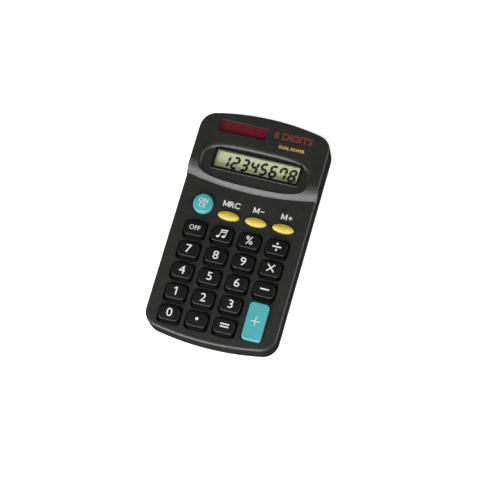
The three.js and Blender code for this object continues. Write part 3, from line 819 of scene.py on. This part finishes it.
def add_screw_stands(shell):
    """The stands of the case screws, with the holes of their shanks and sunk heads."""
    for y in CASE_SCREWS_Y:
        for x in (-SCREW_X, SCREW_X):
            stand = rod("stand", (x, y), STAND_RADIUS, 1 * MM, STAND_HIGH_Z)
            combine(stand, "INTERSECT", loft("inside", case_outline, [(1 * MM, -WALL), (FAR, -WALL)]))
            combine(shell, "UNION", stand)
            combine(shell, "DIFFERENCE", rod("shank hole", (x, y), SHANK_HOLE_RADIUS, -1 * MM, FAR, sides=24))
            head_hole = oval((x, y), (HEAD_HOLE_RADIUS, HEAD_HOLE_RADIUS), steps=40)
            levels = [(-1 * MM, HEAD_HOLE_RIM), (0, HEAD_HOLE_RIM), (HEAD_HOLE_RIM, 0), (HEAD_HOLE_HIGH_Z, 0)]
            combine(shell, "DIFFERENCE", loft("head hole", head_hole, levels))


def bottom_shell():
    shell = lower_form("case_bottom")
    combine(shell, "DIFFERENCE", lower_room(FLOOR))
    for low, high in (FRONT_BAY_WALL, LEFT_BAY_WALL, RIGHT_BAY_WALL):
        combine(shell, "UNION", block("bay wall", [c * MM for c in low], [c * MM for c in high]))
    add_screw_stands(shell)
    reach = DOOR_HALF_WIDTH + DOOR_GAP
    low_y = DOOR_LOW_Y - DOOR_GAP
    opening = block("opening", (-reach, low_y, -1 * MM), (reach, FAR, DOOR_LIP + DOOR_GAP))
    groove_reach = reach + TONGUE_REACH
    groove = block("groove", (-groove_reach, low_y, TONGUE_LOW_Z - TONGUE_GAP),
                   (groove_reach, FAR, TONGUE_HIGH_Z + TONGUE_GAP))
    combine(shell, "DIFFERENCE", opening, groove)
    smooth(shell, angle=30)
    return finish_piece(shell, CASE_BLACK, "case", "case_black", "bottom_shell")


def battery_door():
    """The piece of the lower half inside the door's outline, with two side tongues and grip grooves."""
    door = lower_form("sliding_battery_door")
    keep = block("keep", (-DOOR_HALF_WIDTH, DOOR_LOW_Y, -1 * MM), (DOOR_HALF_WIDTH, FAR, DOOR_LIP))
    tongue_x = DOOR_HALF_WIDTH + TONGUE_REACH
    tongues = block("tongues", (-tongue_x, DOOR_LOW_Y, TONGUE_LOW_Z), (tongue_x, TONGUE_END_Y, TONGUE_HIGH_Z))
    combine(keep, "UNION", tongues)
    combine(door, "INTERSECT", keep)
    combine(door, "DIFFERENCE", lower_room(DOOR_THICKNESS))
    for index in range(GRIP_GROOVES):
        centre = (0, GRIP_FIRST_Y + index * GRIP_PITCH)
        half = (GRIP_HALF[0] - index * GRIP_SHORTENING, GRIP_HALF[1])
        groove = rounded_rectangle(centre, half, GRIP_CORNER)
        levels = [(-1 * MM, GRIP_FLARE), (0, GRIP_FLARE), (GRIP_DEPTH, 0)]
        combine(door, "DIFFERENCE", loft("groove", groove, levels))
    smooth(door, angle=30)
    return finish_piece(door, CASE_BLACK, "battery_door", "case_black", "battery_door")


bottom_shell()
battery_door()

# ---- windows, display and digits

window_low, window_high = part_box("display_window")
glass_low, glass_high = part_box("lcd_glass")
solar_low, solar_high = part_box("solar_window")
WINDOW_EDGE = (0.12 * MM, 0.12 * MM)
GLASS_EDGE = (0.2 * MM, 0.2 * MM)
GLASS_CORNER = 0.3 * MM
FRAME_OVERLAP = 0.05 * MM
FRAME_HOLE_RIM = 0.15 * MM


def thin_window(name, outline, low, high, material, slot, node):
    piece = loft(name, outline, rounded_levels(low, high, WINDOW_EDGE, WINDOW_EDGE, steps=3))
    smooth(piece)
    return finish_piece(piece, material, "case", slot, node)


display_cover_outline = rounded_rectangle(DISPLAY_CENTRE, grown(DISPLAY_HALF, 1 * MM), 1 * MM)
thin_window("display_cover", display_cover_outline, window_low.z, window_high.z, clear_window(),
            "clear_plastic", "display_window")
solar_cover_outline = rounded_rectangle(SOLAR_CENTRE, grown(SOLAR_HALF, 0.8 * MM), 0.7 * MM)
thin_window("solar_cover", solar_cover_outline, solar_low.z, solar_high.z, smoked_window(),
            "smoked_red", "solar_window")


def display_frame():
    """The black surround of the display, between its window and the bezel's ridge; darker than the case, its
    black is partly its own colour and partly painted shade of the opening round the display.
    """
    low = DISH_FLOOR_Z - FRAME_DEPTH
    piece = loft("display_frame", frame_outline(), [(low, 0), (FRAME_LIP_Z + 0.03 * MM, 0)])
    opening = rounded_rectangle(DISPLAY_CENTRE, grown(DISPLAY_HALF, -FRAME_OVERLAP), DISPLAY_CORNER)
    combine(piece, "DIFFERENCE", rim_cutter("hole", opening, low - 1 * MM, FRAME_LIP_Z, FRAME_HOLE_RIM))
    smooth(piece)
    return finish_piece(piece, FRAME_BLACK_AND_SHADE, "case", "case_black")


display_frame()


def display_panel():
    centre = ((glass_low.x + glass_high.x) / 2, (glass_low.y + glass_high.y) / 2)
    half = ((glass_high.x - glass_low.x) / 2, (glass_high.y - glass_low.y) / 2)
    outline = rounded_rectangle(centre, half, GLASS_CORNER)
    levels = rounded_levels(glass_low.z, glass_high.z, GLASS_EDGE, GLASS_EDGE, steps=2)
    piece = loft("display_panel", outline, levels)
    smooth(piece)
    return finish_piece(piece, display_glass(), "case", "lcd", "lcd_glass")


display_panel()

# Seven-segment digits: a top, b upper right, c lower right, d bottom, e lower left, f upper left, g middle.
SEGMENTS_OF = {"1": "bc", "2": "abged", "3": "abgcd", "4": "fgbc", "5": "afgcd", "6": "afgedc", "7": "fabc",
               "8": "abcdefg"}
DIGIT_HALF_WIDTH = 1.4 * MM
DIGIT_HALF_HEIGHT = 2.825 * MM
STROKE = 1.3 * MM
SEGMENT_GAP = 0.01 * MM
DIGIT_PITCH = 4.9 * MM
DIGIT_SLANT = math.tan(math.radians(8))
DIGIT_LOW_Z = glass_high.z + 0.01 * MM
DIGIT_HIGH_Z = DIGIT_LOW_Z + 0.04 * MM
LAST_DIGIT_X = DISPLAY_CENTRE[0] + DISPLAY_HALF[0] - 3.3 * MM
DIGITS_Y = DISPLAY_CENTRE[1] - 0.15 * MM
POINT_X = LAST_DIGIT_X + DIGIT_HALF_WIDTH + 0.6 * MM
POINT_Y = DIGITS_Y - DIGIT_HALF_HEIGHT
POINT_RADIUS = 0.36 * MM


def segment(start, end):
    """One bar of a digit, with pointed ends."""
    along = (Vector(end) - Vector(start)).normalized()
    across = Vector((-along.y, along.x))
    start_point = Vector(start) + along * SEGMENT_GAP
    end_point = Vector(end) - along * SEGMENT_GAP
    half = STROKE / 2
    ring = [start_point, start_point + (along - across) * half, end_point - (along + across) * half,
            end_point, end_point - (along - across) * half, start_point + (along + across) * half]

    def slanted(growth):
        return [(point.x + DIGIT_SLANT * point.y, point.y) for point in ring]
    return loft("segment", slanted, [(DIGIT_LOW_Z, 0), (DIGIT_HIGH_Z, 0)])


def display_digits():
    """The digits 1 to 8 and the point after them, as on a full display."""
    right, top = DIGIT_HALF_WIDTH, DIGIT_HALF_HEIGHT
    segment_ends = {
        "a": ((-right, top), (right, top)),
        "b": ((right, top), (right, 0)),
        "c": ((right, 0), (right, -top)),
        "d": ((-right, -top), (right, -top)),
        "e": ((-right, -top), (-right, 0)),
        "f": ((-right, 0), (-right, top)),
        "g": ((-right, 0), (right, 0)),
    }
    masters = {letter: segment(*ends) for letter, ends in segment_ends.items()}
    pieces = []
    for place, letters in enumerate(SEGMENTS_OF.values()):
        x = LAST_DIGIT_X - (len(SEGMENTS_OF) - 1 - place) * DIGIT_PITCH
        pieces += [copy_of(masters[letter], "segment", (x, DIGITS_Y, 0)) for letter in letters]
    for master in masters.values():
        bpy.data.objects.remove(master)
    pieces.append(rod("point", (POINT_X, POINT_Y), POINT_RADIUS, DIGIT_LOW_Z, DIGIT_HIGH_Z, sides=16))
    return finish_piece(joined("display_digits", pieces), digit_black(), "case", "lcd")


display_digits()

# ---- printed legends

LEGEND_THICKNESS = 0.06 * MM
LEGEND_SHIFT_Y = 0.5 * MM
KEY_LEAN = math.radians(5.2)
KEY_LEGEND_Z = key_top["5"] - 0.21 * MM
FACE_PRINT_Z = KEY_FACE_Z + 0.02 * MM - LEGEND_THICKNESS / 2
PANEL_PRINT_Z = PANEL_Z + 0.02 * MM - LEGEND_THICKNESS / 2
LABEL_Y = 12.1 * MM


def printed(piece, name, lean, centre, height, material, body, slot):
    """Leans a flat legend towards the user, sets it down at its place and finishes it."""
    piece.name = name
    piece.data.transform(Matrix.Rotation(lean, 4, "X"))
    piece.data.transform(Matrix.Translation((centre[0], centre[1], height)))
    return finish_piece(piece, material, body, slot)


def lettering(name, text, size, centre, height, material, body, slot, lean=0.0, weight=0.0, width=1.0):
    """Printed lettering made a thin closed mesh; weight thickens its strokes and width stretches it."""
    fresh()
    bpy.ops.object.text_add()
    label = bpy.context.object
    label.data.body = text
    label.data.align_x = "CENTER"
    label.data.align_y = "CENTER"
    label.data.size = size
    label.data.space_line = 0.8
    label.data.extrude = LEGEND_THICKNESS / 2
    label.data.offset = weight
    label.data.resolution_u = 4
    bpy.ops.object.convert(target="MESH")
    bpy.ops.object.mode_set(mode="EDIT")
    bpy.ops.mesh.select_all(action="SELECT")
    bpy.ops.mesh.remove_doubles(threshold=0.001 * MM)
    bpy.ops.mesh.normals_make_consistent(inside=False)
    bpy.ops.object.mode_set(mode="OBJECT")
    piece = bpy.context.object
    corners = [vertex.co for vertex in piece.data.vertices]
    middle_x = (min(c.x for c in corners) + max(c.x for c in corners)) / 2
    middle_y = (min(c.y for c in corners) + max(c.y for c in corners)) / 2
    piece.data.transform(Matrix.Translation((-middle_x, -middle_y, 0)))
    piece.data.transform(Matrix.Diagonal((width, 1, 1, 1)))
    return printed(piece, name, lean, centre, height, material, body, slot)


def bars_legend(name, bars, centre, height, body, lean, slot="key_black"):
    """A white sign of flat bars and dots, in mm: each is (x, y, half width, half height, turn in degrees)."""
    pieces = []
    for x, y, half_width, half_height, turn in bars:
        roundness = 1 if half_width == half_height else 0.6
        corner = min(half_width, half_height) * roundness
        outline = rounded_rectangle((0, 0), (half_width * MM, half_height * MM), corner * MM, steps=4)
        bar = loft("bar", outline, [(-LEGEND_THICKNESS / 2, 0), (LEGEND_THICKNESS / 2, 0)])
        bar.data.transform(Matrix.Rotation(math.radians(turn), 4, "Z"))
        bar.data.transform(Matrix.Translation((x * MM, y * MM, 0)))
        pieces.append(bar)
    piece = combine(pieces[0], "UNION", *pieces[1:])
    return printed(piece, name, lean, centre, height, INK_WHITE, body, slot)


def legend_place(key):
    x, y = key_centre[key]
    return x, y + LEGEND_SHIFT_Y


def key_lettering(key, text, size, width=1.0):
    lettering("legend_" + key, text, size, legend_place(key), KEY_LEGEND_Z, INK_WHITE,
              "key_" + key, "key_black", lean=KEY_LEAN, width=width)


def key_sign(key, bars):
    bars_legend("legend_" + key, bars, legend_place(key), KEY_LEGEND_Z, "key_" + key, KEY_LEAN)


for key in "023456789":
    key_lettering(key, key, 5.9 * MM, width=1.1)
key_sign("1", [(0.3, 0, 0.3, 2.1, 0), (-0.3, 1.45, 0.75, 0.26, 35)])
key_lettering("off", "OFF", 3.3 * MM)
key_lettering("percent", "%", 5.8 * MM)

MIDDLE_BAR = (0, 0, 2.25, 0.32, 0)
SIGNS = {
    "minus": [MIDDLE_BAR],
    "equals": [(0, 0.68, 2.25, 0.3, 0), (0, -0.68, 2.25, 0.3, 0)],
    "multiply": [(0, 0, 2.6, 0.3, 45), (0, 0, 2.6, 0.3, -45)],
    "divide": [MIDDLE_BAR, (0, 1.55, 0.5, 0.5, 0), (0, -1.55, 0.5, 0.5, 0)],
    "point": [(0, 0, 0.75, 0.75, 0)],
}
for key, bars in SIGNS.items():
    key_sign(key, bars)

PLUS_SIGN = [(0, 0, 2.35, 0.22, 0), (0, 0, 0.22, 2.35, 0)]
bars_legend("legend_plus", PLUS_SIGN, key_centre["plus"], key_top["plus"] - 0.12 * MM, "key_plus",
            math.radians(1))

NOTE_HEADS = [(-1.75, -1.55, 0.85, 0.5, 20), (1.05, -1.25, 0.85, 0.5, 20)]
NOTE_STEMS = [(-0.85, 0.15, 0.17, 1.75, -12), (1.95, 0.45, 0.17, 1.75, -12)]
NOTE_BEAMS = [(0.95, 1.95, 1.65, 0.3, 6), (0.75, 0.95, 1.5, 0.2, 6)]
key_sign("music", NOTE_HEADS + NOTE_STEMS + NOTE_BEAMS)

lettering("legend_on_clear", "ON\nCE", 3.2 * MM, key_centre["on_clear"], key_top["on_clear"] - 0.02 * MM,
          INK_WHITE, "key_on_clear", "key_teal", weight=0.02 * MM)

LETTER_M = [(-1.2, 0, 0.28, 1.5, 0), (1.2, 0, 0.28, 1.5, 0),
            (-0.6, 0.2, 0.25, 1.4, 25), (0.6, 0.2, 0.25, 1.4, -25)]
MINUS_MARK = [(3.1, -0.1, 1.05, 0.22, 0)]
PLUS_MARK = MINUS_MARK + [(3.1, -0.1, 0.22, 1.05, 0)]
for key, mark, x in (("recall", [], -9.65), ("minus", MINUS_MARK, 5.85), ("plus", PLUS_MARK, 20.15)):
    bars_legend("label_memory_" + key, LETTER_M + mark, (x * MM, LABEL_Y), FACE_PRINT_Z, "case", 0,
                slot="case_black")
lettering("label_memory_rc", "RC", 4.1 * MM, (-5.2 * MM, LABEL_Y), FACE_PRINT_Z, INK_WHITE,
          "case", "case_black", weight=0.07 * MM, width=1.08)
lettering("label_digits", "8 DIGITS", 4.9 * MM, (14.4 * MM, 51.4 * MM), PANEL_PRINT_Z, INK_RED,
          "case", "case_black", weight=0.11 * MM, width=1.05)
lettering("label_power", "DUAL POWER", 2.3 * MM, (15.0 * MM, 45.7 * MM), PANEL_PRINT_Z, INK_YELLOW,
          "case", "case_black", weight=0.05 * MM, width=0.9)

# ---- screws

SCREW_HEAD_RADIUS = 1.8 * MM
# The rounded head in mm, from its outer face inwards: (distance from the face, growth of the outline).
SCREW_HEAD = ((0, -0.7), (0.15, -0.3), (0.5, 0), (1.1, 0))
SHANK_GROWTH = -0.85 * MM
SCREW_TIP_GROWTH = -1.7 * MM
THREAD_START = 1.4 * MM
THREAD_END_GAP = 1.2 * MM
THREAD_PITCH = 0.6 * MM
THREAD_RISE = 0.25 * MM
THREAD_DEPTH = 0.15 * MM
CROSS_LONG = 1.0 * MM
CROSS_NARROW = 0.2 * MM
CROSS_DEPTH = 0.7 * MM
CROSS_FLARE = 0.05 * MM


def screw_piece(node_name):
    """Round-headed screw with a cross recess, head down, its thread drawn as a row of grooves."""
    low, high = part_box(node_name)
    centre = ((low.x + high.x) / 2, (low.y + high.y) / 2)
    head = oval(centre, (SCREW_HEAD_RADIUS, SCREW_HEAD_RADIUS), steps=32)
    levels = [(low.z + distance * MM, growth * MM) for distance, growth in SCREW_HEAD]
    levels.append((levels[-1][0], SHANK_GROWTH))
    z = low.z + THREAD_START
    while z < high.z - THREAD_END_GAP:
        levels += [(z, SHANK_GROWTH - THREAD_DEPTH), (z + THREAD_RISE, SHANK_GROWTH)]
        z += THREAD_PITCH
    levels.append((high.z, SCREW_TIP_GROWTH))
    piece = loft(node_name + "_fine", head, levels)
    cross_levels = [(low.z - 1 * MM, CROSS_FLARE), (low.z + CROSS_DEPTH, -CROSS_FLARE)]
    for half in ((CROSS_NARROW, CROSS_LONG), (CROSS_LONG, CROSS_NARROW)):
        slot = rounded_rectangle(centre, half, CROSS_NARROW / 2, steps=2)
        combine(piece, "DIFFERENCE", loft("cross", slot, cross_levels))
    smooth(piece)
    return finish_piece(piece, STEEL, "case", "plated_steel", node_name)


for node_name in sorted(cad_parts):
    if "_screw_" in node_name:
        screw_piece(node_name)

# ---- battery cell

CELL_ROLL = 0.5 * MM
CELL_ROLL_GROWTH = -0.08 * MM
CELL_RIM_GROWTH = -1.1 * MM
CELL_NUB_RADIUS = 2.75 * MM
CELL_NUB_HEIGHT = 1.1 * MM
CELL_NUB_EDGE = 0.2 * MM
CELL_STEP = 0.15 * MM


def battery_cell():
    """AA cell with a rolled sleeve edge, a shoulder and a raised positive end, lying along X."""
    low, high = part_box("battery_cell")
    radius = (high.z - low.z) / 2
    axis = ((low.y + high.y) / 2, (low.z + high.z) / 2)
    nub = CELL_NUB_RADIUS - radius
    shoulder = high.x - CELL_NUB_HEIGHT
    base = low.x + 0.1 * MM
    levels = [(base, 2 * CELL_RIM_GROWTH), (base, CELL_RIM_GROWTH), (low.x, -CELL_ROLL),
              (low.x + CELL_ROLL, CELL_ROLL_GROWTH), (low.x + 2 * CELL_ROLL, 0),
              (shoulder - 2 * CELL_ROLL, 0), (shoulder - CELL_ROLL, CELL_ROLL_GROWTH), (shoulder, -CELL_ROLL),
              (shoulder, CELL_RIM_GROWTH), (shoulder + CELL_STEP, CELL_RIM_GROWTH - CELL_ROLL),
              (shoulder + CELL_STEP, nub), (high.x - CELL_NUB_EDGE, nub), (high.x, nub - CELL_NUB_EDGE)]
    piece = loft("battery_cell_fine", oval((0, 0), (radius, radius)), levels)
    piece.data.transform(Matrix.Rotation(QUARTER, 4, "Y"))
    piece.data.transform(Matrix.Translation((0, *axis)))
    smooth(piece, angle=30)
    return finish_piece(piece, SLEEVE, "case", "cell_jacket", "battery_cell")


battery_cell()

# ---- studio

# The camera stands off from the aim along the view direction, rolled a little about it.
VIEW_DIRECTION = Vector((0.18804, -0.27312, 0.94344)).normalized()
VIEW_ROLL = 0.23216
VIEW_DISTANCE = 0.9727
LENS = 150
AIM = Vector((0, -27.0 * MM, KEY_FACE_Z + 2.3 * MM))
AIM_RIGHT = 8.36 * MM
AIM_UP = 19.52 * MM

# Each soft light faces the calculator: its name, place, width and height, and power in watts.
SOFT_LIGHTS = (
    ("front softbox", (-0.17, -0.86, 0.5), (0.9, 0.6), 22),
    ("right softbox", (0.85, 0.1, 0.3), (0.5, 0.35), 4),
    ("overhead softbox", (-0.19, -0.3, 0.93), (0.3, 0.15), 1.7),
)

# The surroundings' brightness against the height of the direction, from 0 at the horizon to 1 overhead.
SKY_STOPS = ((0, 0.02), (0.08, 1), (0.35, 1), (0.75, 0.06))
SKY_STRENGTH = 0.62
FLOOR_SIZE = 6
FLOOR_Z = -0.2 * MM
FLOOR_GLOW = {"Emission Color": (1, 1, 1, 1), "Emission Strength": 0.68}


def make_camera():
    across = (Vector((1, 0, 0)) - VIEW_DIRECTION.x * VIEW_DIRECTION).normalized()
    along = VIEW_DIRECTION.cross(across)
    right = math.cos(VIEW_ROLL) * across + math.sin(VIEW_ROLL) * along
    up = math.cos(VIEW_ROLL) * along - math.sin(VIEW_ROLL) * across
    place = AIM + AIM_RIGHT * right + AIM_UP * up + VIEW_DISTANCE * VIEW_DIRECTION
    camera = bpy.data.objects.new("camera", bpy.data.cameras.new("camera"))
    camera.data.lens = LENS
    camera.data.sensor_width = 36
    camera.data.clip_start = 0.01
    turn = Matrix((right, up, VIEW_DIRECTION)).transposed()
    camera.matrix_world = Matrix.Translation(place) @ turn.to_4x4()
    bpy.context.scene.collection.objects.link(camera)
    bpy.context.scene.camera = camera


def soft_light(name, place, size, power):
    lamp = bpy.data.lights.new(name, "AREA")
    lamp.shape = "RECTANGLE"
    lamp.size, lamp.size_y = size
    lamp.energy = power
    holder = bpy.data.objects.new(name, lamp)
    turn = Vector(place).to_track_quat("Z", "Y").to_matrix()
    holder.matrix_world = Matrix.Translation(place) @ turn.to_4x4()
    bpy.context.scene.collection.objects.link(holder)


def make_floor():
    """A pale floor just below the case; it glows faintly and isn't seen in reflections."""
    fresh()
    bpy.ops.mesh.primitive_plane_add(size=FLOOR_SIZE, location=(0, 0, FLOOR_Z))
    floor = bpy.context.object
    floor.name = "floor"
    finish = Finish("pale floor", (0.86, 0.86, 0.86), 0.8, constants=FLOOR_GLOW)
    floor.data.materials.append(finish.material)
    floor.visible_glossy = False


def make_surroundings():
    """A white studio: bright a little above the horizon all round, dim overhead and dark below."""
    world = bpy.data.worlds.new("studio")
    world.use_nodes = True
    tree = world.node_tree
    background = tree.nodes["Background"]
    coordinates = tree.nodes.new("ShaderNodeTexCoord")
    parts = tree.nodes.new("ShaderNodeSeparateXYZ")
    ramp = tree.nodes.new("ShaderNodeValToRGB")
    stops = ramp.color_ramp.elements
    while len(stops) < len(SKY_STOPS):
        stops.new(0.5)
    for stop, (height, level) in zip(stops, SKY_STOPS):
        stop.position = height
        stop.color = (level, level, level, 1)
    tree.links.new(coordinates.outputs["Generated"], parts.inputs[0])
    tree.links.new(parts.outputs["Z"], ramp.inputs["Fac"])
    tree.links.new(ramp.outputs["Color"], background.inputs["Color"])
    background.inputs["Strength"].default_value = SKY_STRENGTH
    bpy.context.scene.world = world


make_camera()
make_floor()
for name, place, size, power in SOFT_LIGHTS:
    soft_light(name, place, size, power)
make_surroundings()
bpy.context.scene.view_settings.view_transform = "Standard"
